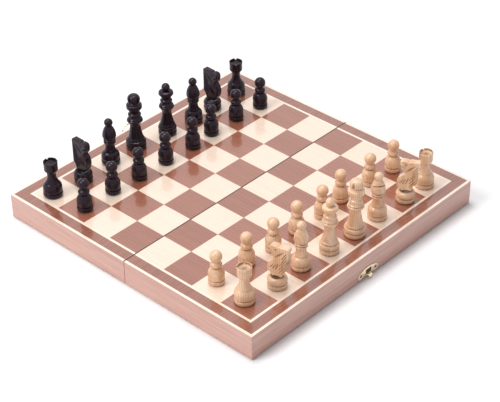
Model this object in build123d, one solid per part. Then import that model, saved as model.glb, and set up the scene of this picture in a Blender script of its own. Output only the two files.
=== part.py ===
from build123d import *
import math
import os

os.makedirs("parts", exist_ok=True)

# A folding wooden chess set, lying open with its playing face up. All sizes are in millimetres.
# The origin is at the middle of the crease, level with the rims that the case stands on.
# +X runs from the a file to the h file, +Y from the white side to the black side, +Z is up.

# Case
board_side = 300.0
half_height = 24.5
crease_gap = 0.6
rail_thickness = 9.0
panel_thickness = 3.0
panel_ledge = 5.0
veneer = 0.6
felt = 0.8
square = 33.7
inner_string = 2.5
edge_string = 2.4
joint_gap = 0.05

# Hinges
hinge_place = 95.0
hinge_length = 25.0
leaf_reach = 7.0
leaf_thickness = 0.9
knuckle_radius = 1.0
pin_radius = 0.45
running_gap = 0.05
swing_gap = 0.15
knuckle_gap = 0.1
hinge_screw_spacing = 15.0

# Clasp
plate_thickness = 0.8
ear_radius = 4.0
ear_spread = 10.0
ear_height = 5.2
pivot_height = 11.5
pivot_stand_off = 1.75
barrel_radius = 1.2
clasp_pin_radius = 0.6
loop_half_width = 8.5
loop_band = 1.6
loop_thickness = 1.2
loop_reach = 20.0
hook_half_width = 2.2
hook_top = 6.2

# Screws
screw_head_radius = 1.6
screw_shank_radius = 0.8
screw_length = 6.0
screw_flats = 6

# Chessmen, by their base radius
pawn_base = 7.3
rook_base = 9.1
bishop_base = 8.9
queen_base = 8.9
king_base = 9.7
base_height = 4.7
knight_thickness = 6.4
turned_flats = 10

# Heights and edges that follow from these
ceiling = half_height - veneer
seat = ceiling - panel_thickness
outer = board_side / 2
near = crease_gap / 2
inside = outer - rail_thickness
hinge_inside = near + rail_thickness
panel_outer = inside + panel_ledge
panel_near = hinge_inside - panel_ledge
field = 4 * square
string_outer = field + inner_string
border_outer = outer - edge_string


def slab(x_range, y_range, z_range):
    """A box between three pairs of limits."""
    size = [high - low for low, high in (x_range, y_range, z_range)]
    middle = [(high + low) / 2 for low, high in (x_range, y_range, z_range)]
    return Pos(*middle) * Box(*size)


def board(corners, bottom, top):
    """A flat board with this outline, from one height to another."""
    return extrude(Pos(0, 0, bottom) * make_face(Polyline(*corners, close=True)), top - bottom)


def rod(radius, x_low, x_high, y, z):
    """A round bar along X."""
    return Pos((x_low + x_high) / 2, y, z) * Rot(0, 90, 0) * Cylinder(radius, x_high - x_low)


def ring(radius, height, flats):
    """Corners of a flat-sided ring round the Z axis, or the one point where it closes."""
    if radius == 0:
        return [Vector(0, 0, height)]
    angles = [2 * math.pi * (step + 0.5) / flats for step in range(flats)]
    return [Vector(radius * math.cos(angle), radius * math.sin(angle), height) for angle in angles]


def turned(outline, flats=turned_flats):
    """The solid that a lathe leaves from an outline of (radius, height), bottom first.

    Its round faces are drawn as narrow flats, because there are so many small round pieces."""
    rings = [ring(radius, height, flats) for radius, height in outline]
    faces = [Face(Wire.make_polygon(rings[0]))]
    for low, high in zip(rings, rings[1:]):
        for step in range(flats):
            after = (step + 1) % flats
            corners = [low[step], low[after]]
            corners += [high[after], high[step]] if len(high) > 1 else high
            faces.append(Face(Wire.make_polygon(corners)))
    if len(rings[-1]) > 1:
        faces.append(Face(Wire.make_polygon(rings[-1])))
    return Solid(Shell(faces))


# Case of one half, drawn as the black half, with the crease at low Y


def hinge_middles():
    return (-hinge_place, hinge_place)


def screw(head_height):
    """A countersunk screw standing on its head, whose cone is this high."""
    outline = [
        (screw_head_radius, 0),
        (screw_shank_radius, head_height),
        (screw_shank_radius, screw_length),
    ]
    return turned(outline, screw_flats)


def hinge_screws():
    """Screws that hold the leaves to the rim of the hinge rail."""
    y = (near + leaf_reach) / 2 + 0.6
    return [
        Pos(middle + side * hinge_screw_spacing / 2, y, 0) * screw(leaf_thickness)
        for middle in hinge_middles()
        for side in (-1, 1)
    ]


def clasp_screws():
    """Screws through the two ears of a clasp plate into the outer rail."""
    face = outer + plate_thickness
    lying = Rot(90, 0, 0) * screw(plate_thickness)
    return [Pos(side * ear_spread, face, ear_height) * lying for side in (-1, 1)]


def rails():
    """Four rails mitred at the corners, with a ledge for the panel along their tops."""
    ledge = slab((-panel_outer, panel_outer), (panel_near, panel_outer), (seat, half_height))
    outside = [(-outer, near), (outer, near), (outer, outer), (-outer, outer)]
    inner = [(-inside, hinge_inside), (inside, hinge_inside), (inside, inside), (-inside, inside)]
    made = []
    for start in range(4):
        after = (start + 1) % 4
        plan = [outside[start], outside[after], inner[after], inner[start]]
        made.append(board(plan, 0, ceiling) - ledge)
    hinge_rail, right_rail, outer_rail, left_rail = made
    for middle in hinge_middles():
        span = (middle - hinge_length / 2, middle + hinge_length / 2)
        hinge_rail -= slab(span, (0, leaf_reach), (0, leaf_thickness))
        hinge_rail -= rod(knuckle_radius + 2 * swing_gap, *span, 0, 0)
    for fixing in hinge_screws():
        hinge_rail -= fixing
    for fixing in clasp_screws():
        outer_rail -= fixing
    return hinge_rail, outer_rail, [left_rail, right_rail]


def panel():
    """Plywood panel let into the ledge of the rails."""
    return slab((-panel_outer, panel_outer), (panel_near, panel_outer), (seat, ceiling))


def lining():
    """Felt glued to the underside of the panel."""
    return slab((-inside + 1, inside - 1), (hinge_inside + 1, inside - 1), (seat - felt, seat))


def frame_strips(low, high):
    """Three mitred veneer strips round the field, between two distances from the middle."""
    low, high = low + joint_gap / 2, high - joint_gap / 2
    mitre = joint_gap / 2
    side = [(low, near), (high, near), (high, high - mitre), (low, low - mitre)]
    across = [(-low + mitre, low), (low - mitre, low), (high - mitre, high), (-high + mitre, high)]
    right = board(side, ceiling, half_height)
    left = board([(-x, y) for x, y in side], ceiling, half_height)
    return [left, right, board(across, ceiling, half_height)]


def squares(shade):
    """The sixteen veneer squares of one shade, light (1) or dark (0)."""
    made = []
    for file in range(8):
        for rank in range(4, 8):
            if (file + rank) % 2 == shade:
                x = (file - 4) * square
                y = (rank - 4) * square
                low_y = near if rank == 4 else y + joint_gap / 2
                x_range = (x + joint_gap / 2, x + square - joint_gap / 2)
                y_range = (low_y, y + square - joint_gap / 2)
                made.append(slab(x_range, y_range, (ceiling, half_height)))
    return made


# Hinges, lying in the rims with the pin on the line that both halves share


def leaves(side, outer_knuckles):
    """Two leaves with rolled knuckles: the outer two of three, or the middle one."""
    made = []
    third = hinge_length / 3
    for middle in hinge_middles():
        low = middle - hinge_length / 2
        ends = [(low, low + third), (low + 2 * third, low + 3 * third)]
        centre = [(low + third, low + 2 * third)]
        own, other = (ends, centre) if outer_knuckles else (centre, ends)
        leaf = slab((low, low + hinge_length), (0, leaf_reach), (0, leaf_thickness))
        for span in other:
            leaf -= slab((span[0] - 0.1, span[1] + 0.1), (-2, knuckle_radius + swing_gap), (-2, 2))
        for span in own:
            leaf += rod(knuckle_radius, span[0] + knuckle_gap, span[1] - knuckle_gap, 0, 0)
        bore = pin_radius if outer_knuckles else pin_radius + running_gap
        leaf -= rod(bore, low - 1, low + hinge_length + 1, 0, 0)
        made.append(leaf)
    for fixing in hinge_screws():
        made = [leaf - fixing for leaf in made]
    return [Rot(0, 0, 0 if side > 0 else 180) * leaf for leaf in made]


def hinge_pins():
    half = hinge_length / 2
    return [rod(pin_radius, middle - half, middle + half, 0, 0) for middle in hinge_middles()]


# Clasp, drawn on the black half: plates on the outer rail and a swinging loop


def plate_outline(top):
    """Scalloped plate outline: two round ears, a square middle and a round lower lobe."""
    ears = [Pos(side * ear_spread, ear_height) * Circle(ear_radius) for side in (-1, 1)]
    middle = Pos(0, (top + ear_height - 1.5) / 2) * Rectangle(13, top - ear_height + 1.5)
    lobe = Pos(0, ear_height - 0.6) * Circle(ear_radius)
    bridge = Pos(0, ear_height) * Rectangle(2 * ear_spread, ear_radius * 1.1)
    return ears[0] + ears[1] + middle + lobe + bridge


def standing(sketch, y_low, thickness):
    """A sketch drawn in X and Z, stood up on the outer rail with this thickness."""
    return extrude(Pos(0, y_low + thickness, 0) * (Plane.XZ * sketch), thickness)


def catch():
    """Lower plate with a hook that bulges out of its middle and curls down."""
    plate = standing(plate_outline(ear_height + 5.6), outer, plate_thickness)
    hook_profile = Polyline(
        (outer, hook_top),
        (outer + 2.9, hook_top),
        (outer + 4.0, hook_top - 1.6),
        (outer + 3.6, 1.6),
        (outer + 2.4, 1.2),
        (outer + 2.2, hook_top - 2.6),
        (outer, hook_top - 3.0),
        close=True,
    )
    hook = extrude(Plane.YZ * make_face(hook_profile), hook_half_width, both=True)
    body = plate + hook
    for fixing in clasp_screws():
        body -= fixing
    return body


def mount_plate():
    """Upper plate whose top edge is rolled round the pivot pin."""
    y = outer + pivot_stand_off
    half = loop_half_width - loop_band - 0.3
    body = standing(plate_outline(pivot_height), outer, plate_thickness)
    body += slab((-half, half), (outer, y), (pivot_height - 1, pivot_height + barrel_radius))
    body += rod(barrel_radius, -half, half, y, pivot_height)
    body -= rod(clasp_pin_radius, -half - 1, half + 1, y, pivot_height)
    for fixing in clasp_screws():
        body -= fixing
    return body


def loop():
    """Brass bail, swung up: two limbs with eyes and a half-round end."""
    y = outer + pivot_stand_off
    centre = pivot_height + loop_reach - loop_half_width
    width = 2 * loop_half_width
    shape = Pos(0, centre) * Circle(loop_half_width)
    shape += Pos(0, (centre + pivot_height) / 2) * Rectangle(width, centre - pivot_height)
    inner = loop_half_width - loop_band
    shape -= Pos(0, centre) * Circle(inner)
    shape -= Pos(0, (centre + pivot_height) / 2) * Rectangle(2 * inner, centre - pivot_height + 1)
    body = standing(shape, y - loop_thickness / 2, loop_thickness)
    for low in (-loop_half_width, inner):
        body += rod(barrel_radius, low, low + loop_band, y, pivot_height)
    return body - rod(clasp_pin_radius + running_gap, -20, 20, y, pivot_height)


def clasp_pin():
    """Pivot pin with a peened head at each end."""
    y = outer + pivot_stand_off
    end = loop_half_width + 0.15
    body = rod(clasp_pin_radius, -end, end, y, pivot_height)
    for low in (-end - 0.5, end):
        body += rod(barrel_radius * 0.85, low, low + 0.5, y, pivot_height)
    return body


# Chessmen, turned about their own axis from outlines of (radius, height)


def swell(start, end, rise, bands):
    """Points of a curve from start to end that bulges outwards by rise."""
    across, up = end[0] - start[0], end[1] - start[1]
    length = math.hypot(across, up)
    points = []
    for step in range(1, bands + 1):
        part = step / bands
        out = 4 * rise * part * (1 - part)
        points.append((start[0] + across * part + out * up / length,
                       start[1] + up * part - out * across / length))
    return points


def ball(radius, height, start_angle, bands):
    """Points of a ball's outline, from an angle below its middle to its top."""
    points = []
    for step in range(bands + 1):
        angle = math.radians(start_angle + (90 - start_angle) * step / bands)
        points.append((radius * math.cos(angle), height + radius * math.sin(angle)))
    return points[:-1] + [(0, height + radius)]


def drum(radius, bell_radius, bell_height, rise, bands):
    """Round base, a groove, and the domed bell that stands on it."""
    groove = (radius - 0.7, base_height + 0.6)
    bell = swell(groove, (bell_radius, bell_height), rise, bands)
    return [(radius, 0), (radius, base_height), groove] + bell


def pawn():
    collar = [(5.4, 16.8), (5.3, 20.8), (3.5, 23.2)]
    return turned(drum(pawn_base, 4.1, 14.9, 1.8, 2) + collar + ball(5.25, 27.95, -32, 3))


def rook():
    crown = [(4.0, 22.5), (5.7, 28.0), (6.3, 28.3), (6.7, 36.7), (5.0, 36.7), (4.8, 34.8)]
    body = turned(drum(rook_base, 4.7, 17.5, 2.0, 2) + crown)
    for angle in (45, 135):
        body -= Rot(0, 0, angle) * Pos(0, 0, 36.3) * Box(20, 1.5, 3)
    return body


def bishop():
    neck = [(4.5, 21.9), (5.8, 23.2), (5.1, 24.5), (5.9, 25.6), (5.2, 27.7)]
    mitre = swell((5.2, 27.7), (2.8, 40.4), 2.7, 3)
    return turned(drum(bishop_base, 5.0, 15.4, 1.9, 2) + neck + mitre + ball(3.9, 44.4, -30, 3))


def tiers(radius, foot_radius, waist_radius, waist_height):
    """Two-tier base and the straight stem that tapers up from it."""
    tier = [(radius - 0.6, base_height + 0.4), (radius - 0.1, 6.2), (radius - 0.4, 9.6)]
    stem = [(foot_radius, 11.5), (waist_radius, waist_height)]
    return [(radius, 0), (radius, base_height)] + tier + stem


def queen():
    collar = [(7.4, 31.4), (5.3, 35.9), (6.1, 37.2), (5.0, 39.4)]
    crown = [(7.3, 44.6), (6.9, 47.4), (3.0, 48.8)]
    stem = tiers(queen_base, 7.2, 4.5, 24.8)
    return turned(stem + collar + crown + ball(4.1, 51.9, -30, 3))


def king():
    collar = [(7.7, 31.2), (5.5, 36.0), (6.4, 37.4), (5.4, 39.4)]
    crown = [(7.4, 44.4), (7.3, 48.2), (5.2, 50.2)]
    knob = [(6.1, 53.6), (5.4, 57.0), (3.4, 58.6)]
    body = turned(tiers(king_base, 7.6, 5.0, 25.6) + collar + crown + knob)
    for angle in (45, 135, 225, 315):
        notch = Pos(7.2, 0, 56.0) * Rot(0, 0, 45) * Box(4.2, 4.2, 9)
        body -= Rot(0, 0, angle) * notch
    return body


def knight():
    """Turned base with a dished top that carries a head sawn from a flat board, facing -Y."""
    base = turned([(8.6, 0), (8.6, base_height), (8.1, 5.3), (8.8, 7.0), (8.7, 11.2),
                   (7.4, 11.6), (4.0, 9.6)])
    back = Line((9.0, 19.0), (9.0, 43.4))
    brow = Polyline((9.0, 43.4), (-1.0, 43.2), (-2.2, 42.2), (-3.4, 43.2), (-8.6, 42.8))
    muzzle = Polyline((-8.6, 42.8), (-9.6, 38.6), (-9.0, 34.0), (-6.8, 32.2))
    chest = ThreePointArc((-6.8, 32.2), (-10.2, 24.6), (-8.2, 15.8))
    foot = ThreePointArc((-8.2, 15.8), (0.2, 9.2), (9.0, 19.0))
    side = make_face(back + brow + muzzle + chest + foot)
    head = extrude(Plane.YZ * side, knight_thickness / 2, both=True)
    return base + head


# Where each chessman stands: square, and how far off its middle it was put down

makers = {"pawn": pawn, "rook": rook, "knight": knight, "bishop": bishop, "queen": queen, "king": king}
white_rank = ["rook", "knight", "bishop", "queen", "king", "bishop", "knight", "rook"]
black_rank = ["rook", "knight", "bishop", "king", "queen", "bishop", "knight", "rook"]
files = "abcdefgh"
strays = {
    "white_a1": (-2.0, 3.5), "white_b1": (-2.0, -3.0), "white_c1": (-3.0, -1.0), "white_d1": (-3.0, -4.0),
    "white_e1": (-3.0, -5.0), "white_f1": (-3.5, -3.5), "white_g1": (0.5, -6.0), "white_h1": (-3.0, -4.5),
    "white_a2": (0.5, 4.5), "white_b2": (3.0, 3.0), "white_d2": (-1.0, 1.5), "white_e2": (-1.5, 0.5),
    "white_f2": (-5.5, 4.0), "white_g2": (-1.0, 1.0), "white_h2": (-3.0, -1.0),
    "black_a8": (-6.0, 2.5), "black_b8": (-5.0, -0.5), "black_c8": (-1.5, 2.0), "black_d8": (-1.0, 3.0),
    "black_e8": (2.5, -2.0), "black_f8": (2.0, -5.0), "black_g8": (-3.0, -3.0), "black_h8": (0.0, -1.0),
    "black_a7": (-2.0, -2.5), "black_b7": (0.0, -1.5), "black_c7": (-1.5, -3.0), "black_d7": (-0.5, -3.0),
    "black_e7": (1.5, -3.5), "black_f7": (-3.5, -0.5), "black_g7": (-1.5, 0.0), "black_h7": (-3.0, -2.5),
}


def chessmen():
    """Every chessman by name, standing on the board, with the knights facing the other side."""
    solids = {kind: make() for kind, make in makers.items()}
    placed = {}
    for colour, home, pawns, turn, rank in (("white", 0, 1, 180, white_rank), ("black", 7, 6, 0, black_rank)):
        men = [(file, home, kind) for file, kind in enumerate(rank)]
        men += [(file, pawns, "pawn") for file in range(8)]
        for file, row, kind in men:
            place = f"{files[file]}{row + 1}"
            stray = strays.get(f"{colour}_{place}", (0, 0))
            x = (file - 3.5) * square + stray[0]
            y = (row - 3.5) * square + stray[1]
            name = f"{colour}_{kind}_{place}"
            placed[name] = [Pos(x, y, half_height) * Rot(0, 0, turn) * solids[kind]]
    return placed


# Assembly


def half(name, turn):
    """Every node of one half of the case, turned about Z into its place."""
    hinge_rail, outer_rail, end_rails = rails()
    nodes = {
        "hinge_rail": [hinge_rail],
        "outer_rail": [outer_rail],
        "end_rails": end_rails,
        "panel": [panel()],
        "felt_lining": [lining()],
        "border_veneer": frame_strips(string_outer, border_outer),
        "stringing": frame_strips(field, string_outer) + frame_strips(border_outer, outer),
        "light_squares": squares(1),
        "dark_squares": squares(0),
        "screws": hinge_screws() + clasp_screws(),
    }
    return {f"{name}_{node}": [Rot(0, 0, turn) * solid for solid in solids]
            for node, solids in nodes.items()}


nodes = half("black", 0)
nodes.update(half("white", 180))
nodes["white_hinge_leaves"] = leaves(-1, True)
nodes["black_hinge_leaves"] = leaves(1, False)
nodes["hinge_pins"] = hinge_pins()
nodes["clasp_catch"] = [Rot(0, 0, 180) * catch()]
nodes["clasp_mount_plate"] = [mount_plate()]
nodes["clasp_loop"] = [loop()]
nodes["clasp_pin"] = [clasp_pin()]
nodes.update(chessmen())

for name, solids in nodes.items():
    whole = solids[0] if len(solids) == 1 else Compound(children=solids)
    export_step(whole, f"parts/{name}.step")
print(len(nodes), "nodes")
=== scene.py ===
import math
import random

import bpy
from mathutils import Matrix, Vector


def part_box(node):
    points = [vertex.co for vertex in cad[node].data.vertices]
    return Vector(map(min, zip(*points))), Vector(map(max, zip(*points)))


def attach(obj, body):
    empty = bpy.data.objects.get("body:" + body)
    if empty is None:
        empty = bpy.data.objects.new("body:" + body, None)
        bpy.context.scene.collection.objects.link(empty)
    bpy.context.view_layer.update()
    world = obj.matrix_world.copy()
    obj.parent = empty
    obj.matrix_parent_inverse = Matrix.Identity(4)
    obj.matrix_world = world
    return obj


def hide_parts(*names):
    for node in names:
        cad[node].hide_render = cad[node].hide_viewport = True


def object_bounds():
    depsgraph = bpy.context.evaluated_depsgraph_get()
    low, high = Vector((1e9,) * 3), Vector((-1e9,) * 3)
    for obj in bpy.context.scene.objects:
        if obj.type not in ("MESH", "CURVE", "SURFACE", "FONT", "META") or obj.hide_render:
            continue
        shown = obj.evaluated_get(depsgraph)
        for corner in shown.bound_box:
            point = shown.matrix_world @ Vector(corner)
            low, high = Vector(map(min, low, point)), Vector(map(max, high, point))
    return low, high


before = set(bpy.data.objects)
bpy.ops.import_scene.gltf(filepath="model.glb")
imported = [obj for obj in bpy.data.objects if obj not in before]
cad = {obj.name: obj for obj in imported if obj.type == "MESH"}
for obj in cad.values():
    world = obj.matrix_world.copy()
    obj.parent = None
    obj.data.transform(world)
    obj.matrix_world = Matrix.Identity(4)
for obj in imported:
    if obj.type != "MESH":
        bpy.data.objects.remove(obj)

cad_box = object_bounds()
bpy.ops.object.select_all(action="DESELECT")

# Case rails: four mitred boards of sapele mahogany round each half, glued at the corners.
# They are stained pale and finished with a clear satin lacquer, with the grain along each board.


class Signal:
    """One output of a node; arithmetic on it adds Math nodes to the same finish."""

    def __init__(self, finish, socket):
        self.finish = finish
        self.socket = socket

    def math(self, operation, *values):
        sockets = dict(enumerate((self, *values)))
        return self.finish.node("ShaderNodeMath", {"operation": operation}, sockets)

    def swapped(self, operation, value):
        return self.finish.node("ShaderNodeMath", {"operation": operation}, {0: value, 1: self})

    def __add__(self, value):
        return self.math("ADD", value)

    def __radd__(self, value):
        return self.swapped("ADD", value)

    def __mul__(self, value):
        return self.math("MULTIPLY", value)

    def __rmul__(self, value):
        return self.swapped("MULTIPLY", value)

    def __pow__(self, value):
        return self.math("POWER", value)

    def __rpow__(self, value):
        return self.swapped("POWER", value)


class Finish:
    """A material built up node by node round its one shader."""

    def __init__(self, name, constants):
        self.material = bpy.data.materials.new(name)
        self.material.use_nodes = True
        self.tree = self.material.node_tree
        self.shader = self.tree.nodes["Principled BSDF"]
        for socket, value in constants.items():
            self.shader.inputs[socket].default_value = value
        self.place = self.node("ShaderNodeTexCoord", output="Object")

    def node(self, kind, settings=None, sockets=None, output=0):
        """Adds a node: its settings first, then the value or the link of each socket."""
        made = self.tree.nodes.new(kind)
        for name, value in (settings or {}).items():
            setattr(made, name, value)
        for socket, value in (sockets or {}).items():
            if isinstance(value, Signal):
                self.tree.links.new(value.socket, made.inputs[socket])
            else:
                made.inputs[socket].default_value = value
        return Signal(self, made.outputs[output])

    def stretched(self, factors, vector=None):
        """The place on the object, or a given vector, scaled along each axis."""
        sockets = {0: vector or self.place, 1: factors}
        return self.node("ShaderNodeVectorMath", {"operation": "MULTIPLY"}, sockets)

    def shifted(self, vector, by):
        return self.node("ShaderNodeVectorMath", {"operation": "ADD"}, {0: vector, 1: by})

    def noise(self, vector, scale, detail):
        sockets = {"Vector": vector, "Scale": scale, "Detail": detail}
        return self.node("ShaderNodeTexNoise", None, sockets)

    def graded(self, signal, low, high):
        """The signal taken from the range low to high onto 0 to 1, and held there."""
        sockets = {"Value": signal, "From Min": low, "From Max": high}
        return self.node("ShaderNodeMapRange", None, sockets)

    def mixed(self, share, first, second):
        """A colour between two others."""
        return self.node("ShaderNodeMix", {"data_type": "RGBA"}, {0: share, 6: first, 7: second}, 2)

    def laid(self, colour, roughness=None, height=None, depth=0.0):
        """Feeds the shader, with a bump of this depth where there is a height."""
        self.tree.links.new(colour.socket, self.shader.inputs["Base Color"])
        if roughness:
            self.tree.links.new(roughness.socket, self.shader.inputs["Roughness"])
        if height:
            bump = self.node("ShaderNodeBump", None, {"Distance": depth, "Height": height})
            self.tree.links.new(bump.socket, self.shader.inputs["Normal"])
        return self.material


def finish_node(name, material):
    """Gives a CAD node its finish."""
    node = cad[name]
    node.data.materials.clear()
    node.data.materials.append(material)


rail_dark = (0.48, 0.235, 0.18, 1)
rail_light = (0.60, 0.325, 0.26, 1)
rail_ribbon = (0.66, 0.39, 0.32, 1)
rail_pore = (0.29, 0.12, 0.082, 1)


def mahogany_rail(name, grain):
    """Pale sapele with the grain along axis 0 or 1: pores, ribbon figure and a slow tone."""
    satin = Finish(name, {"Coat Weight": 0.6, "Coat Roughness": 0.16, "Specular IOR Level": 0.5})
    along = [1.0, 1.0, 1.0]
    along[grain] = 0.045
    pores = satin.noise(satin.stretched(along), 2600.0, 2.0)
    ribbon = satin.noise(satin.stretched(along), 420.0, 3.0)
    tone = satin.noise(satin.stretched(along), 60.0, 2.0)
    body = satin.mixed(satin.graded(tone, 0.3, 0.7), rail_dark, rail_light)
    ribboned = satin.mixed(satin.graded(ribbon, 0.35, 0.75), body, rail_ribbon)
    pored = satin.mixed(satin.graded(pores, 0.60, 0.80) * 0.5, ribboned, rail_pore)
    roughness = satin.graded(pores, 0.2, 0.9) * 0.16 + 0.34
    return satin.laid(pored, roughness, pores, depth=0.00004)


rail_along_x = mahogany_rail("mahogany_long_rail", grain=0)
rail_along_y = mahogany_rail("mahogany_end_rail", grain=1)
for half in ("white", "black"):
    finish_node(f"{half}_hinge_rail", rail_along_x)
    finish_node(f"{half}_outer_rail", rail_along_x)
    finish_node(f"{half}_end_rails", rail_along_y)

# Panels: three-ply birch let into the ledges of the rails, seen only from inside the case.
# The underside of each has a lining of green felt, cut a little short of the rails and glued on.

birch = Finish("plywood", {"Specular IOR Level": 0.3})
birch_streaks = birch.noise(birch.stretched((0.06, 1.0, 1.0)), 900.0, 4.0)
birch_dark = (0.56, 0.40, 0.25, 1)
birch_light = (0.76, 0.61, 0.43, 1)
birch_colour = birch.mixed(birch_streaks, birch_dark, birch_light)
plywood = birch.laid(birch_colour, birch_streaks * 0.2 + 0.55, birch_streaks, depth=0.00005)

felt_dark = (0.022, 0.085, 0.040, 1)
felt_light = (0.035, 0.12, 0.058, 1)
felt_fibre = (0.075, 0.19, 0.10, 1)
soft = {"Specular IOR Level": 0.1, "Sheen Weight": 0.4, "Sheen Roughness": 0.6}
felt = Finish("green_felt", soft)
fibres = felt.noise(felt.place, 2400.0, 5.0)
nap = felt.noise(felt.place, 90.0, 2.0)
felt_body = felt.mixed(felt.graded(nap, 0.3, 0.7), felt_dark, felt_light)
felt_colour = felt.mixed(felt.graded(fibres, 0.4, 0.8), felt_body, felt_fibre)
green_felt = felt.laid(felt_colour, fibres * 0.1 + 0.85, fibres, depth=0.0003)
for half in ("white", "black"):
    finish_node(f"{half}_panel", plywood)
    finish_node(f"{half}_felt_lining", green_felt)

# Playing face: squares of maple and mahogany veneer, maple stringing and a mahogany border.
# All of it is glued down flush, sanded, and covered with one coat of high-gloss clear lacquer.

square = 0.0337
# Painted shade along the crease: how far it reaches from the crease, and its colour.
crease_edge = 0.0005
crease_fade = 0.0008
crease_shade_colour = (0.06, 0.028, 0.018, 1)
lacquer = {
    "Specular IOR Level": 0.8,
    "Coat Weight": 1.0,
    "Coat Roughness": 0.03,
    "Coat IOR": 1.6,
}


def by_square(finish):
    """A different random colour, whose parts are from 0 to 1, for each square of the board."""
    steps = finish.stretched((1 / square, 1 / square, 0.0))
    cell = finish.node("ShaderNodeVectorMath", {"operation": "FLOOR"}, {0: steps})
    settings = {"noise_dimensions": "3D"}
    return finish.node("ShaderNodeTexWhiteNoise", settings, {"Vector": cell}, "Color")


def veneer(name, grain, dark, light, pore, per_square):
    """A lacquered veneer with its grain along axis 0 or 1, and painted shade where the two halves
    meet.

    With per_square, each square is cut from another place in the wood.
    """
    gloss = Finish(name, lacquer)
    along = [1.0, 1.0, 1.0]
    along[grain] = 0.05
    where = gloss.place
    if per_square:
        chance = by_square(gloss)
        where = gloss.shifted(where, chance)
    flow = gloss.stretched(along, where)
    figure = gloss.noise(flow, 170.0, 3.0)
    streaks = gloss.noise(flow, 1100.0, 3.0)
    pores = gloss.noise(flow, 3400.0, 1.0)
    share = gloss.graded(figure, 0.25, 0.75) * 0.5 + streaks * 0.25
    if per_square:
        split = gloss.node("ShaderNodeSeparateXYZ", None, {0: chance}, 0)
        share = share * 0.7 + split * 0.3
    colour = gloss.mixed(share, dark, light)
    pored = gloss.mixed(gloss.graded(pores, 0.58, 0.8) * 0.2, colour, pore)
    # Painted shade: a thin band on each side of the crease, where the halves meet, darkens toward
    # the crease shade colour.
    across = gloss.node("ShaderNodeSeparateXYZ", None, {0: gloss.place}, 1).math("ABSOLUTE")
    meeting = gloss.graded(across, crease_fade, crease_edge)
    crease_shaded = gloss.mixed(meeting, pored, crease_shade_colour)
    return gloss.laid(crease_shaded, streaks * 0.1 + 0.22, figure, depth=0.00002)


mahogany_dark = (0.275, 0.084, 0.045, 1)
mahogany_light = (0.40, 0.145, 0.088, 1)
mahogany_pore = (0.15, 0.043, 0.025, 1)
maple_dark = (0.87, 0.67, 0.53, 1)
maple_light = (0.94, 0.76, 0.63, 1)
maple_pore = (0.76, 0.53, 0.38, 1)
border_dark = (0.215, 0.062, 0.032, 1)
stringing_light = (0.98, 0.84, 0.73, 1)
dark_squares = veneer("mahogany_squares", 1, mahogany_dark, mahogany_light, mahogany_pore, True)
light_squares = veneer("maple_squares", 1, maple_dark, maple_light, maple_pore, True)
border = veneer("mahogany_border", 0, border_dark, mahogany_light, mahogany_pore, False)
stringing = veneer("maple_stringing", 0, maple_light, stringing_light, maple_dark, False)
for half in ("white", "black"):
    finish_node(f"{half}_dark_squares", dark_squares)
    finish_node(f"{half}_light_squares", light_squares)
    finish_node(f"{half}_border_veneer", border)
    finish_node(f"{half}_stringing", stringing)

# Hinges: two small butt hinges let into the rims, stamped from sheet brass, with knuckles
# rolled round plain pins. The brass is polished and thinly lacquered.

metal = Finish("brass", {"Metallic": 1.0, "Coat Weight": 0.2, "Coat Roughness": 0.15})
handling = metal.noise(metal.place, 260.0, 3.0)
drawn = metal.noise(metal.stretched((0.05, 1.0, 1.0)), 5200.0, 2.0)
brass_dark = (0.74, 0.60, 0.40, 1)
brass_light = (0.88, 0.76, 0.56, 1)
brass_colour = metal.mixed(metal.graded(handling, 0.3, 0.7), brass_dark, brass_light)
brass = metal.laid(brass_colour, handling * 0.2 + 0.16, drawn, depth=0.00001)
for name in ("white_hinge_leaves", "black_hinge_leaves", "hinge_pins", "clasp_pin"):
    finish_node(name, brass)

# Screws: four hold the hinge leaves of each half from below, and two hold its clasp plate.
# They are small countersunk brass screws with cross slots, turned and milled. Their dark colour is
# partly aged brass and partly painted shade of the countersinks.

mm = 0.001


def draw(points):
    """Starts edit mode with a chain of edges through these points in metres."""
    bpy.ops.object.select_all(action="DESELECT")
    bpy.ops.mesh.primitive_plane_add(size=0.001, location=points[0])
    bpy.ops.object.mode_set(mode="EDIT")
    bpy.ops.mesh.select_all(action="SELECT")
    bpy.ops.mesh.merge(type="CENTER")
    for start, end in zip(points, points[1:]):
        move = Vector(end) - Vector(start)
        bpy.ops.mesh.extrude_region_move(TRANSFORM_OT_translate={"value": move})


def settle(name, angle, rounding=0.0):
    """Leaves edit mode, eases the sharp edges, and puts the object's place into its mesh."""
    bpy.ops.object.mode_set(mode="OBJECT")
    piece = bpy.context.object
    piece.name = name
    bpy.ops.object.transform_apply(location=True, rotation=True, scale=True)
    if rounding:
        ease = piece.modifiers.new("ease", "BEVEL")
        ease.width = rounding
        ease.segments = 2
        ease.limit_method = "ANGLE"
        ease.angle_limit = math.radians(angle)
        bpy.ops.object.modifier_apply(modifier=ease.name)
    bpy.ops.object.shade_smooth_by_angle(angle=math.radians(angle))
    return piece


def turned(name, outline, rounding=0.25, steps=56):
    """A body turned to an outline of (radius, height) in millimetres, from middle to middle."""
    draw([(radius * mm, 0, height * mm) for radius, height in outline])
    bpy.ops.mesh.select_all(action="SELECT")
    bpy.ops.mesh.spin(steps=steps, angle=2 * math.pi, center=(0, 0, 0), axis=(0, 0, 1))
    bpy.ops.mesh.select_all(action="SELECT")
    bpy.ops.mesh.remove_doubles(threshold=0.00002)
    bpy.ops.mesh.normals_make_consistent(inside=False)
    return settle(name, 32, rounding * mm)


def cut(piece, cutter, operation="DIFFERENCE"):
    """Cuts one piece with another, or welds them into one, and clears the other away."""
    bpy.ops.object.select_all(action="DESELECT")
    bpy.context.view_layer.objects.active = piece
    piece.select_set(True)
    bite = piece.modifiers.new("bite", "BOOLEAN")
    bite.operation = operation
    bite.solver = "EXACT"
    bite.object = cutter
    bpy.ops.object.modifier_apply(modifier=bite.name)
    bpy.data.objects.remove(cutter)


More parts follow.
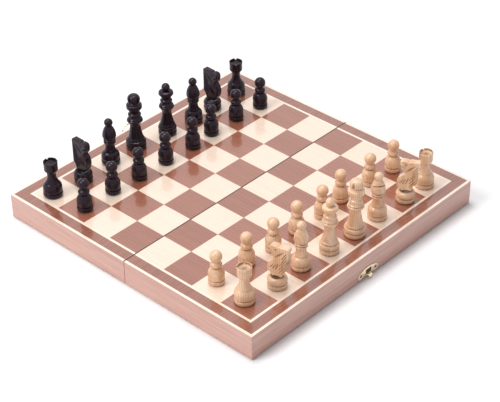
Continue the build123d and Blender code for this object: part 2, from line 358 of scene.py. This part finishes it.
def block(size, place, turn=(0, 0, 0)):
    """A straight-sided block in millimetres, turned by degrees about each axis."""
    bpy.ops.object.select_all(action="DESELECT")
    angles = [math.radians(degrees) for degrees in turn]
    bpy.ops.mesh.primitive_cube_add(
        size=mm, location=Vector(place) * mm, rotation=angles, scale=size
    )
    bpy.ops.object.transform_apply(location=True, rotation=True, scale=True)
    return bpy.context.object


def copied(model, name, move):
    """A copy of a model with its own mesh, moved to its place."""
    copy = bpy.data.objects.new(name, model.data.copy())
    bpy.context.scene.collection.objects.link(copy)
    copy.data.transform(move)
    return copy


screw = turned(
    "screw",
    [(0, 0.12), (0.9, 0.12), (1.45, 0.05), (1.6, 0.2), (0.8, 0.85), (0.75, 5.2), (0, 6.0)],
    rounding=0.05,
    steps=32,
)
slot_size = (2.3, 0.42, 0.9)
for quarter in (0, 90):
    cut(screw, block(slot_size, (0, 0, 0.1), (0, 0, quarter)))
# The screws' dark colour is partly aged brass and partly painted shade of their countersinks.
screw_shaded_finish = Finish("screw_aged_and_shaded", {"Metallic": 1.0})
wear = screw_shaded_finish.noise(screw_shaded_finish.place, 2200.0, 2.0)
screw_dark = (0.16, 0.12, 0.075, 1)
screw_worn = (0.38, 0.30, 0.20, 1)
screw_colour = screw_shaded_finish.mixed(screw_shaded_finish.graded(wear, 0.35, 0.7), screw_dark, screw_worn)
screw_metal = screw_shaded_finish.laid(screw_colour, wear * 0.2 + 0.25, wear, depth=0.00001)

hinge_middle = 95.0
hinge_screw_side = 7.5
hinge_screw_in = 4.15
rail_face = 150.0
plate_thickness = 0.8
ear = (10.0, 5.2)
for half, facing in (("black", 0.0), ("white", math.pi)):
    round_to = Matrix.Rotation(facing, 4, "Z")
    lying = Matrix.Rotation(math.radians(90), 4, "X")
    places = [
        Matrix.Translation(Vector((middle + side, hinge_screw_in, 0)) * mm)
        for middle in (-hinge_middle, hinge_middle)
        for side in (-hinge_screw_side, hinge_screw_side)
    ]
    places += [
        Matrix.Translation(Vector((side, rail_face + plate_thickness, ear[1])) * mm) @ lying
        for side in (-ear[0], ear[0])
    ]
    for number, place in enumerate(places, 1):
        fixing = copied(screw, f"{half}_screw_{number}", round_to @ place)
        fixing.data.materials.append(screw_metal)
        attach(fixing, f"{half}_half")
        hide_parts(f"{half}_screws")

# Clasp: two plates stamped from thin brass sheet, each with two ears for its screws. The upper
# one is rolled round a pin that carries a loop, and the lower one has a hook for the loop.

shoulder = (13.7, 6.2)
far_shoulder = (-13.7, 6.2)
ear_round = ((10.2, 4.9), 3.7)
lobe_round = ((0, 4.4), 3.8)
sink_depth = 0.9
window = (7.2, 0.9, 4.7)
window_height = 6.5
smooth = math.radians(35)


def curve(start, end, rise, steps):
    """The points after start, up to end, along a swell, or a hollow where rise is below 0."""
    across, up = end[0] - start[0], end[1] - start[1]
    length = math.hypot(across, up)
    points = []
    for step in range(1, steps + 1):
        part = step / steps
        out = 4 * rise * part * (1 - part)
        place = start[0] + across * part + out * up / length
        points.append((place, start[1] + up * part - out * across / length))
    return points


def arc(middle, radius, start, end, steps):
    """Points on a circle between two angles in degrees."""
    angles = [math.radians(start + (end - start) * step / steps) for step in range(steps + 1)]
    return [(middle[0] + radius * math.cos(a), middle[1] + radius * math.sin(a)) for a in angles]


def thickened(name, through, angle, rounding):
    """In edit mode, makes a flat shape as thick as this move in metres, and finishes it."""
    bpy.ops.mesh.select_all(action="SELECT")
    bpy.ops.mesh.extrude_region_move(TRANSFORM_OT_translate={"value": through})
    bpy.ops.mesh.select_all(action="SELECT")
    bpy.ops.mesh.normals_make_consistent(inside=False)
    return settle(name, angle, rounding * mm)


def sawn(name, outline, through, angle, rounding):
    """A flat shape with this outline in metres, of the thickness that the move gives."""
    draw(outline)
    bpy.ops.mesh.select_all(action="SELECT")
    bpy.ops.mesh.edge_face_add()
    return thickened(name, through, angle, rounding)


def sheet(name, outline, thickness, rounding):
    """Brass cut to an outline of (x, height), with its back on the black half's outer rail."""
    points = [(x * mm, rail_face * mm, height * mm) for x, height in outline]
    return sawn(name, points, (0, thickness * mm, 0), 30, rounding)


def strip(name, outline, half_width, rounding):
    """Brass of this half width bent to an outline of (distance from the rail, height)."""
    left = -half_width * mm
    points = [(left, (rail_face + out) * mm, height * mm) for out, height in outline]
    return sawn(name, points, (2 * half_width * mm, 0, 0), 30, rounding)


def clasp_plate(name, crown):
    """Both ears with their countersinks, the lobe between them, and the given top."""
    lower = arc(*ear_round, 20, -118, 10) + [(6.4, 2.6), (5.4, 3.0), (4.4, 2.3)]
    lower += arc(*lobe_round, -42, -90, 5)
    left = [(-x, height) for x, height in reversed(lower[1:-1])]
    plate = sheet(name, crown + lower + left, plate_thickness, 0.18)
    for side in (-ear[0], ear[0]):
        place = Matrix.Translation(Vector((side, rail_face + sink_depth, ear[1])) * mm)
        cut(plate, copied(screw_blank, "sink", place @ lying))
    return plate


screw_blank = turned(
    "blank",
    [(0, -1), (2.0, -1), (2.0, 0.2), (0.9, 1.0), (0.9, 7), (0, 7)],
    rounding=0,
    steps=32,
)
catch_top = curve(far_shoulder, shoulder, -4.5, 16)[:-1]
catch = clasp_plate("clasp_catch_plate", [far_shoulder] + catch_top)
cut(catch, block(window, (0, rail_face + 0.75, window_height)))
hook = strip(
    "hook",
    [(0.2, 2.5), (2.0, 2.5), (2.6, 2.1), (2.7, 1.5), (3.2, 0.8), (3.8, 1.3), (3.95, 2.6)]
    + [(3.3, 3.6), (2.2, 3.95), (0.2, 3.95)],
    half_width=2.4,
    rounding=0.3,
)
cut(catch, hook, "UNION")
# Painted shade: the floor and walls of the window's hollow in the catch plate are picked out for a
# near-black brass.
window_edge = 0.05
for face in catch.data.polygons:
    middle = face.center / mm
    beside = abs(middle.x) < window[0] / 2 + window_edge
    between = abs(middle.z - window_height) < window[2] / 2 + window_edge
    face.material_index = int(beside and between and middle.y < rail_face + 0.7)
bpy.ops.object.shade_smooth_by_angle(angle=smooth)
# A near-black brass, as painted shade for the hollow of the window.
hollow_shade = Finish("brass_painted_hollow_shade", {"Metallic": 1.0})
hollow_shade_mottle = hollow_shade.noise(hollow_shade.place, 900.0, 3.0)
hollow_shade_dark = (0.045, 0.038, 0.016, 1)
hollow_shade_light = (0.13, 0.11, 0.05, 1)
painted_hollow_shade = hollow_shade.laid(hollow_shade.mixed(hollow_shade_mottle, hollow_shade_dark, hollow_shade_light), hollow_shade_mottle * 0.2 + 0.45)
made = copied(catch, "clasp_catch_stamped", Matrix.Rotation(math.pi, 4, "Z"))
made.data.materials.append(brass)
made.data.materials.append(painted_hollow_shade)
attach(made, "white_half")
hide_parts("clasp_catch")
bpy.data.objects.remove(catch)

pivot = (1.75, 11.5)
barrel_radius = 1.2
mount_half = 6.6
mount_top = 11.6
mount_neck = 10.4
pin_bore = 0.62


def rod(name, radius, half_width, middle=0.0):
    """A rod along the clasp's pivot, with its middle this far to one side."""
    bpy.ops.object.select_all(action="DESELECT")
    place = Vector((middle, rail_face + pivot[0], pivot[1])) * mm
    across = (0, math.radians(90), 0)
    bpy.ops.mesh.primitive_cylinder_add(
        vertices=40, radius=radius * mm, depth=2 * half_width * mm, location=place, rotation=across
    )
    bpy.ops.object.mode_set(mode="EDIT")
    return settle(name, 30)


mount = clasp_plate(
    "clasp_mount_stamped",
    [far_shoulder]
    + curve(far_shoulder, (-mount_half, mount_neck), -0.7, 6)
    + [(-mount_half, mount_top), (mount_half, mount_top), (mount_half, mount_neck)]
    + curve((mount_half, mount_neck), shoulder, -0.7, 6)[:-1],
)
rolled = [(0.1, 10.7), (0.1, 11.4)] + arc(pivot, barrel_radius, 130, -150, 16) + [(0.7, 10.7)]
cut(mount, strip("roll", rolled, half_width=mount_half - 0.15, rounding=0.0), "UNION")
cut(mount, rod("bore", pin_bore, half_width=8.0))
bpy.ops.object.shade_smooth_by_angle(angle=smooth)
mount.data.materials.append(brass)
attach(mount, "black_half")
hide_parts("clasp_mount_plate")

loop_half = 8.5
loop_band = 1.4
loop_reach = 17.5
loop_thickness = 1.2
loop_bore = 0.65
loop_middle = (0, pivot[1] + loop_reach - loop_half)
inner_half = loop_half - loop_band
limbs = [(loop_half, pivot[1])] + arc(loop_middle, loop_half, 0, 180, 28) + [(-loop_half, pivot[1])]
limbs += [(-inner_half, pivot[1])] + arc(loop_middle, inner_half, 180, 0, 28)
limbs += [(inner_half, pivot[1])]
loop = sheet("clasp_loop_bent", limbs, loop_thickness, rounding=0.3)
loop.data.transform(Matrix.Translation((0, (pivot[0] - loop_thickness / 2) * mm, 0)))
for side in (-1, 1):
    eye = rod("eye", barrel_radius, loop_band / 2, side * (loop_half - loop_band / 2))
    cut(loop, eye, "UNION")
cut(loop, rod("bore", loop_bore, half_width=12.0))
bpy.ops.object.shade_smooth_by_angle(angle=smooth)
loop.data.materials.append(brass)
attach(loop, "clasp_bail")
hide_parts("clasp_loop")
bpy.data.objects.remove(screw)
bpy.data.objects.remove(screw_blank)

# Chessmen: each is turned from one billet on a lathe, sanded, and dipped in gloss lacquer.
# The white ones are plain boxwood and the black ones are ebonised. Each stands on a felt pad.

pad_thickness = 0.6


def knob(radius, height, from_angle, steps=16):
    """Points of a ball from an angle below its middle to its top."""
    angles = [math.radians(from_angle + (90 - from_angle) * step / steps) for step in range(steps)]
    points = [(radius * math.cos(angle), height + radius * math.sin(angle)) for angle in angles]
    return points + [(0, height + radius)]


def mark_recess_shade(piece, reach=1.1, least=0.25, full=0.8):
    """Marks how far each point of a turned piece lies behind what stands out just round it, as the
    strength of the painted shade there.
    """
    corners = [point.co / mm for point in piece.data.vertices]
    points = [(math.hypot(corner.x, corner.y), corner.z) for corner in corners]
    rings = sorted({(round(height, 2), round(radius, 2)) for radius, height in points})
    depths = []
    for radius, height in points:
        above = [r for z, r in rings if height <= z <= height + reach]
        below = [r for z, r in rings if height - reach <= z <= height]
        behind = min(max(above, default=radius), max(below, default=radius)) - radius
        depths.append(min(1.0, max(0.0, (behind - least) / (full - least))))
    piece.data.attributes.new("recess", "FLOAT", "POINT").data.foreach_set("value", depths)


def groove(radius, height, depth, width):
    """Points of a narrow cut with a parting tool, from its lower edge to its upper one."""
    floor = radius - depth
    bottom = [(floor, height - 0.15), (floor, height + 0.15)]
    return [(radius, height - width / 2), *bottom, (radius, height + width / 2)]


def foot(radius):
    """The drum at the bottom of every man, a little rounded, up to the groove above it."""
    bottom = [(0, pad_thickness), (radius - 0.5, pad_thickness), (radius - 0.25, 0.9)]
    side = curve((radius - 0.25, 0.9), (radius - 0.1, 4.3), 0.25, 5)
    return bottom + side + groove(radius - 0.35, 4.9, 1.2, 0.9)


pawn = turned(
    "pawn",
    foot(7.3)
    + curve((6.9, 5.4), (7.1, 7.6), 0.15, 5)
    + curve((7.1, 7.6), (4.4, 16.6), 1.2, 10)
    + groove(4.5, 17.2, 1.2, 0.9)
    + curve((4.8, 17.7), (4.7, 21.3), 0.6, 8)
    + [(3.3, 22.0), (3.3, 22.7)]
    + knob(5.5, 27.7, -54),
)

rook = turned(
    "rook",
    foot(9.1)
    + curve((8.6, 5.4), (8.8, 8.2), 0.2, 5)
    + curve((8.8, 8.2), (6.6, 14.2), 0.8, 8)
    + groove(6.4, 14.7, 0.4, 0.5)
    + curve((6.2, 15.0), (4.1, 22.8), -0.6, 8)
    + curve((4.1, 22.8), (5.3, 26.8), -0.3, 6)
    + curve((5.3, 26.8), (6.5, 28.6), 0.35, 4)
    + curve((6.5, 28.6), (6.7, 36.5), -0.15, 5)
    + [(6.5, 36.7), (5.3, 36.7), (5.1, 34.6), (0, 34.4)],
    rounding=0.15,
)
for quarter in (45, 135):
    cut(rook, block((20, 1.5, 3.4), (0, 0, 36.9), (0, 0, quarter)))

bishop = turned(
    "bishop",
    foot(8.9)
    + curve((8.4, 5.4), (8.7, 7.8), 0.2, 5)
    + curve((8.7, 7.8), (6.0, 13.2), 0.9, 8)
    + groove(5.9, 13.7, 0.6, 0.6)
    + curve((5.8, 14.1), (4.6, 21.4), -0.6, 8)
    + [(4.8, 22.1)]
    + curve((4.8, 22.1), (4.8, 24.2), 1.0, 6)
    + [(4.5, 24.5)]
    + curve((4.5, 24.5), (4.7, 26.9), 1.2, 6)
    + [(4.6, 27.3), (5.6, 27.7)]
    + curve((5.6, 27.7), (6.6, 30.6), 0.3, 5)
    + curve((6.6, 30.6), (3.3, 40.3), 0.7, 12)
    + knob(4.1, 44.2, -44, 14),
)
cut(bishop, block((14, 8.0, 1.0), (0, -4.6, 36.2), (-22, 0, 12)))


def stem(radius, foot_radius, waist, waist_height):
    """A drum, the tier above it, and the long straight cone of the king and queen."""
    tier = curve((radius - 0.5, 5.3), (radius - 0.5, 9.2), 0.6, 7)
    step = [(foot_radius - 0.1, 9.9), (foot_radius - 0.1, 10.2), (foot_radius + 0.5, 10.6)]
    step += curve((foot_radius + 0.5, 10.6), (foot_radius - 0.2, 12.2), 0.3, 4)
    cone = curve((foot_radius - 0.2, 12.2), (waist, waist_height), -0.25, 8)
    return foot(radius) + tier + step + cone


queen = turned(
    "queen",
    stem(8.9, 7.2, 4.5, 24.6)
    + curve((4.5, 24.6), (7.2, 30.4), -0.5, 7)
    + curve((7.2, 30.4), (7.0, 32.0), 0.3, 4)
    + [(6.1, 32.6), (6.1, 32.9), (6.7, 33.3)]
    + curve((6.7, 33.3), (4.8, 36.0), -0.3, 5)
    + curve((4.8, 36.0), (4.7, 39.0), 1.2, 6)
    + [(4.3, 39.5)]
    + curve((4.3, 39.5), (7.2, 44.8), -0.35, 7)
    + [(7.3, 45.1), (6.9, 47.2)]
    + curve((6.9, 47.2), (3.2, 48.6), 0.3, 6)
    + knob(4.1, 51.9, -50, 14),
    rounding=0.15,
)

king = turned(
    "king",
    stem(9.7, 7.6, 5.0, 25.4)
    + curve((5.0, 25.4), (7.5, 30.2), -0.5, 7)
    + curve((7.5, 30.2), (7.3, 31.8), 0.3, 4)
    + [(6.3, 32.4), (6.3, 32.7), (7.0, 33.1)]
    + curve((7.0, 33.1), (5.1, 35.9), -0.3, 5)
    + curve((5.1, 35.9), (5.0, 38.8), 1.3, 6)
    + [(4.6, 39.3)]
    + curve((4.6, 39.3), (7.4, 44.3), -0.35, 7)
    + [(7.5, 44.7), (7.5, 47.8), (6.9, 48.4)]
    + curve((6.9, 48.4), (4.2, 50.0), -0.3, 5)
    + curve((4.2, 50.0), (6.1, 53.6), 0.5, 6)
    + curve((6.1, 53.6), (3.3, 58.3), 0.9, 8)
    + [(0, 58.6)],
    rounding=0.15,
)
facet_out = 7.3
facet_height = 56.8
for quarter in (45, 135, 225, 315):
    angle = math.radians(quarter)
    place = (facet_out * math.cos(angle), facet_out * math.sin(angle), facet_height)
    cut(king, block((4.0, 4.0, 9.6), place, (0, 0, quarter + 45)))

# Knight: a turned base with a dished top, and a head sawn from flat board and carved by hand.
# Slanting gouge cuts make the mane, with notches down the back and strokes for cheek and mouth.

board_half = 3.2
mane_rows = 7
mane_foot = 17.0
mane_pitch = 3.1
straight_head = (
    [(-8.4, 16.0), (-9.8, 20.5), (-10.0, 24.6), (-8.8, 28.8), (-6.0, 31.6)]
    + [(-8.2, 34.0), (-9.3, 37.0), (-9.3, 40.6), (-8.6, 42.7), (-6.2, 43.3), (-3.4, 43.2)]
    + [(-2.3, 42.3), (-1.0, 43.2), (9.0, 43.4), (9.0, 19.2)]
    + curve((9.0, 19.2), (5.6, 12.2), 1.2, 4)
    + curve((5.6, 12.2), (-4.6, 11.4), 0.9, 6)
    + curve((-4.6, 11.4), (-8.4, 16.0), 0.9, 4)[:-1]
)
leaning_head = (
    [(-7.6, 15.6), (-8.3, 19.0), (-7.9, 22.6), (-6.4, 25.4), (-3.4, 27.8), (-0.6, 29.9)]
    + [(-2.8, 32.4), (-4.6, 35.4), (-5.8, 38.4), (-6.2, 40.8), (-5.6, 42.6), (-3.2, 43.4)]
    + [(1.0, 43.1), (1.9, 42.2), (3.0, 43.4), (12.2, 43.6), (12.4, 42.0), (11.2, 37.0)]
    + [(11.9, 36.2), (10.6, 31.0), (10.2, 25.0), (9.8, 20.4)]
    + curve((9.8, 20.4), (5.8, 12.6), 1.5, 5)
    + curve((5.8, 12.6), (-3.6, 11.4), 0.9, 5)
    + curve((-3.6, 11.4), (-7.6, 15.6), 0.9, 4)[:-1]
)


def gouge(length, width, place, lean):
    """A long cutter with a V edge, leaning back from upright by degrees."""
    cutter = block((width, width, length), (0, 0, 0), (0, 0, 45))
    lean = Matrix.Rotation(math.radians(-lean), 4, "X")
    cutter.data.transform(Matrix.Translation(Vector(place) * mm) @ lean)
    return cutter


def knight_model(name, side):
    """A head with its outline in (y, z), facing -Y, carved and joined to its base."""
    base = turned(
        name,
        foot(8.7)
        + curve((8.2, 5.4), (8.0, 9.8), 0.7, 9)
        + curve((8.0, 9.8), (6.2, 11.2), 0.3, 4)
        + curve((6.2, 11.2), (0, 10.2), -0.2, 6),
        rounding=0.15,
    )
    points = [(-board_half * mm, y * mm, z * mm) for y, z in side]
    head = sawn(f"{name}_head", points, (2 * board_half * mm, 0, 0), angle=20, rounding=0.8)
    outside = {tuple(round(part, 6) for part in point.co) for point in head.data.vertices}
    back = max(y for y, z in side)
    mane = [(9.0, 1.0, -4.0, mane_foot + row * mane_pitch, 31) for row in range(mane_rows)]
    mane += [(7.0, 0.9, -7.0, 19.5 + row * 3.6, 31) for row in range(3)]
    mane += [(6.5, 0.9, -10.0 + row * 1.7, 35.0 + row * 1.1, 40) for row in range(3)]
    cheek = [(7.0, 1.3, -11.0, 22.6, 20), (6.0, 1.2, -13.6, 21.8, 30), (5.0, 1.1, -16.0, 21.6, 42)]
    mouth = [(4.0, 1.0, -16.6, 37.4, -60)]
    eye = [(2.4, 1.5, -12.2, 39.6, 60)]
    for surface in (-board_half, board_half):
        for length, width, from_back, height, lean in mane + cheek + mouth + eye:
            cut(head, gouge(length, width, (surface, back + from_back, height), lean))
    for row in range(mane_rows):
        notch = (0, back + 0.1, mane_foot + row * mane_pitch)
        cut(head, block((9.0, 1.0, 1.0), notch, (45, 0, 0)))
    # Painted shade: the faces of the gouges and notches are marked to darken, as shade inside the
    # cuts.
    skin = 0.00025
    carved_depth = 0.6
    depths = []
    for point in head.data.vertices:
        carved = tuple(round(part, 6) for part in point.co) not in outside
        depths.append(carved_depth * (abs(point.co.x) < board_half * mm - skin and carved))
    head.data.attributes.new("recess", "FLOAT", "POINT").data.foreach_set("value", depths)
    mark_recess_shade(base)
    bpy.ops.object.select_all(action="DESELECT")
    head.select_set(True)
    base.select_set(True)
    bpy.context.view_layer.objects.active = base
    bpy.ops.object.join()
    bpy.ops.object.shade_smooth_by_angle(angle=math.radians(32))
    return base


black_knight = knight_model("black_knight", straight_head)
white_knight = knight_model("white_knight", leaning_head)


pith_spread = 0.07
ring_width = 0.0017


def billet(name, constants, dark, light, line, recess_shade, roughness):
    """Turned wood whose growth rings stand round a pith that lies off to one side of each man,
    darkened by painted shade in its recesses.
    """
    gloss = Finish(name, constants)
    chance = by_square(gloss)
    spread = gloss.stretched((pith_spread, pith_spread, 0.0), chance)
    pith = gloss.shifted(spread, (-pith_spread / 2, -pith_spread / 2, 0.0))
    steps = gloss.stretched((1 / square, 1 / square, 0.0))
    within = gloss.node("ShaderNodeVectorMath", {"operation": "FRACTION"}, {0: steps})
    local = gloss.stretched((square, square, 0.0), within)
    wander = gloss.noise(gloss.stretched((12.0, 12.0, 18.0)), 1.0, 2.0)
    off = gloss.shifted(gloss.shifted(local, pith), (-0.0168, -0.0168, 0.0))
    reach = gloss.node("ShaderNodeVectorMath", {"operation": "LENGTH"}, {0: off}, "Value")
    rings = ((reach + wander * 0.006) * (2 * math.pi / ring_width)).math("SINE") * 0.5 + 0.5
    fibre = gloss.noise(gloss.stretched((1.0, 1.0, 0.05)), 2600.0, 3.0)
    tone = gloss.noise(gloss.stretched((1.0, 1.0, 0.3)), 120.0, 2.0)
    body = gloss.mixed(gloss.graded(tone, 0.3, 0.7), dark, light)
    ringed = gloss.mixed(rings ** 3.0 * 0.35, body, line)
    streaked = gloss.mixed(gloss.graded(fibre, 0.5, 0.8) * 0.4, ringed, line)
    # Painted shade: points marked as lying in a recess, a groove or a gouge are darkened toward the
    # shade colour.
    recess = gloss.node("ShaderNodeAttribute", {"attribute_name": "recess"}, None, "Fac")
    recess_shaded = gloss.mixed(recess * 0.85, streaked, recess_shade)
    return gloss.laid(recess_shaded, fibre * 0.12 + roughness, fibre, depth=0.00003)


boxwood = billet(
    "boxwood",
    {"Coat Weight": 0.5, "Coat Roughness": 0.12, "Specular IOR Level": 0.5},
    dark=(0.72, 0.415, 0.235, 1),
    light=(0.90, 0.635, 0.43, 1),
    line=(0.50, 0.23, 0.10, 1),
    recess_shade=(0.13, 0.052, 0.022, 1),
    roughness=0.34,
)
ebonised = billet(
    "ebonised_wood",
    {
        "Coat Weight": 0.5,
        "Coat Roughness": 0.07,
        "Coat IOR": 1.35,
        "Specular IOR Level": 0.15,
        "Specular Tint": (0.85, 0.62, 0.9, 1),
    },
    dark=(0.008, 0.004, 0.009, 1),
    light=(0.014, 0.007, 0.014, 1),
    line=(0.030, 0.010, 0.010, 1),
    recess_shade=(0.002, 0.001, 0.002, 1),
    roughness=0.30,
)


def felt_pad(radius):
    """A disc of felt under a man, with its edge just inside the wood."""
    bpy.ops.object.select_all(action="DESELECT")
    bpy.ops.mesh.primitive_circle_add(vertices=48, radius=radius * mm, fill_type="NGON")
    bpy.ops.object.mode_set(mode="EDIT")
    return thickened("pad", (0, 0, pad_thickness * mm), angle=40, rounding=0.1)


models = {"pawn": pawn, "rook": rook, "bishop": bishop, "queen": queen, "king": king}
knights = {"white": white_knight, "black": black_knight}
for model in models.values():
    mark_recess_shade(model)
pad_radii = {"pawn": 6.2, "rook": 8.0, "knight": 7.6, "bishop": 7.8, "queen": 7.8, "king": 8.6}
pads = {kind: felt_pad(radius) for kind, radius in pad_radii.items()}

# Men set out: each stands loose on its own square, a little off the middle as in the photograph.
# Turns in degrees follow what a slit, a notch or a head shows there. Plain men turn at random.

set_turns = {
    "white_knight_b1": 190,
    "white_knight_g1": 205,
    "white_bishop_c1": 130,
    "white_bishop_f1": -46,
    "white_rook_h1": 20,
    "black_knight_b8": 0,
    "black_knight_g8": 0,
    "black_bishop_c8": 100,
    "black_bishop_f8": 160,
    "black_rook_h8": 0,
}
knight_reach = 0.01021
random.seed(8)
for node in sorted(cad):
    colour, _, rest = node.partition("_")
    kind = rest.split("_")[0]
    if kind not in pads:
        continue
    low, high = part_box(node)
    place = Vector(((low.x + high.x) / 2, (low.y + high.y) / 2, low.z))
    turn = random.uniform(0, 2 * math.pi)
    model = models.get(kind)
    if node in set_turns:
        turn = math.radians(set_turns[node])
    if kind == "knight":
        model = knights[colour]
        place.y = low.y + knight_reach if colour == "black" else high.y - knight_reach
    stand = Matrix.Translation(place)
    man = copied(model, f"{node}_turned", stand @ Matrix.Rotation(turn, 4, "Z"))
    man.data.materials.append(boxwood if colour == "white" else ebonised)
    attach(man, f"{node}_man")
    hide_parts(node)
    pad = copied(pads[kind], f"{node}_pad", stand)
    pad.data.materials.append(green_felt)
    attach(pad, f"{node}_man")
for model in (*models.values(), *knights.values(), *pads.values()):
    bpy.data.objects.remove(model)

# Studio: a sweep of white paper under the set, which runs out into plain white far off.
# One soft lamp stands high on the left and one overhead, and a pale room fills the shadows.
# The camera, the metal and the lacquer see the room as white.

floor_size = 12.0
sweep_start = 0.35
sweep_end = 1.1
bpy.ops.object.select_all(action="DESELECT")
bpy.ops.mesh.primitive_plane_add(size=floor_size, location=(0, 0, cad_box[0].z))
floor = bpy.context.object
floor.name = "floor"
paper = Finish("floor_paper", {"Roughness": 0.9, "Specular IOR Level": 0.0})
grain = paper.noise(paper.place, 300.0, 2.0)
paper_dark = (0.95, 0.95, 0.96, 1)
paper_light = (0.97, 0.97, 0.98, 1)
plain_white = {"Color": (1, 1, 1, 1), "Strength": 1.0}
white_paper = paper.laid(paper.mixed(grain, paper_dark, paper_light))
reach = paper.node("ShaderNodeVectorMath", {"operation": "LENGTH"}, {0: paper.place}, "Value")
seen = paper.node("ShaderNodeLightPath", output="Is Camera Ray")
mirrored = paper.node("ShaderNodeLightPath", output="Is Glossy Ray")
far_off = paper.graded(reach, sweep_start, sweep_end) * seen.math("MAXIMUM", mirrored)
glow = paper.node("ShaderNodeEmission", None, plain_white)
lit = Signal(paper, paper.shader.outputs[0])
sweep = paper.node("ShaderNodeMixShader", None, {0: far_off, 1: lit, 2: glow})
paper.tree.links.new(sweep.socket, paper.tree.nodes["Material Output"].inputs["Surface"])
floor.data.materials.append(white_paper)


class Room(Finish):
    """The world, with its nodes added in the same way as a material's."""

    def __init__(self, name):
        self.world = bpy.data.worlds.new(name)
        self.world.use_nodes = True
        self.tree = self.world.node_tree
        self.tree.nodes.clear()
        self.surface = self.tree.nodes.new("ShaderNodeOutputWorld").inputs["Surface"]


room = Room("room")
seen, mirrored, through = [
    room.node("ShaderNodeLightPath", output=kind)
    for kind in ("Is Camera Ray", "Is Glossy Ray", "Is Transmission Ray")
]
shown = seen.math("MAXIMUM", mirrored).math("MAXIMUM", through)
pale = room.node("ShaderNodeBackground", None, {"Color": (0.97, 0.98, 1.0, 1), "Strength": 0.40})
white = room.node("ShaderNodeBackground", None, plain_white)
either = room.node("ShaderNodeMixShader", None, {0: shown, 1: pale, 2: white})
room.tree.links.new(either.socket, room.surface)
bpy.context.scene.world = room.world


def softbox(name, place, size, power, colour):
    """A square lamp that points at the middle of the board."""
    lamp = bpy.data.lights.new(name, "AREA")
    lamp.size = size
    lamp.energy = power
    lamp.color = colour
    box = bpy.data.objects.new(name, lamp)
    bpy.context.scene.collection.objects.link(box)
    box.location = place
    box.rotation_euler = (-Vector(place)).to_track_quat("-Z", "Y").to_euler()


softbox("key", (-1.3, 0.5, 1.5), size=0.8, power=20.0, colour=(1.0, 0.985, 0.97))
softbox("overhead", (0.1, 0.3, 1.7), size=0.8, power=16.5, colour=(1.0, 1.0, 1.0))

# Camera: a long lens that looks down over one corner of the board, at the photograph's angle.
# It was fitted to the squares and the case's corners, and has no shift and no depth of field.

lens = bpy.data.cameras.new("camera")
lens.lens = 112.29
lens.sensor_width = 36.0
lens.clip_end = 50.0
camera = bpy.data.objects.new("camera", lens)
bpy.context.scene.collection.objects.link(camera)
camera.location = (-0.85759, -0.80697, 0.84689)
camera.rotation_euler = [math.radians(angle) for angle in (54.561, 0.417, -47.402)]
bpy.context.scene.camera = camera
bpy.context.scene.view_settings.view_transform = "Standard"
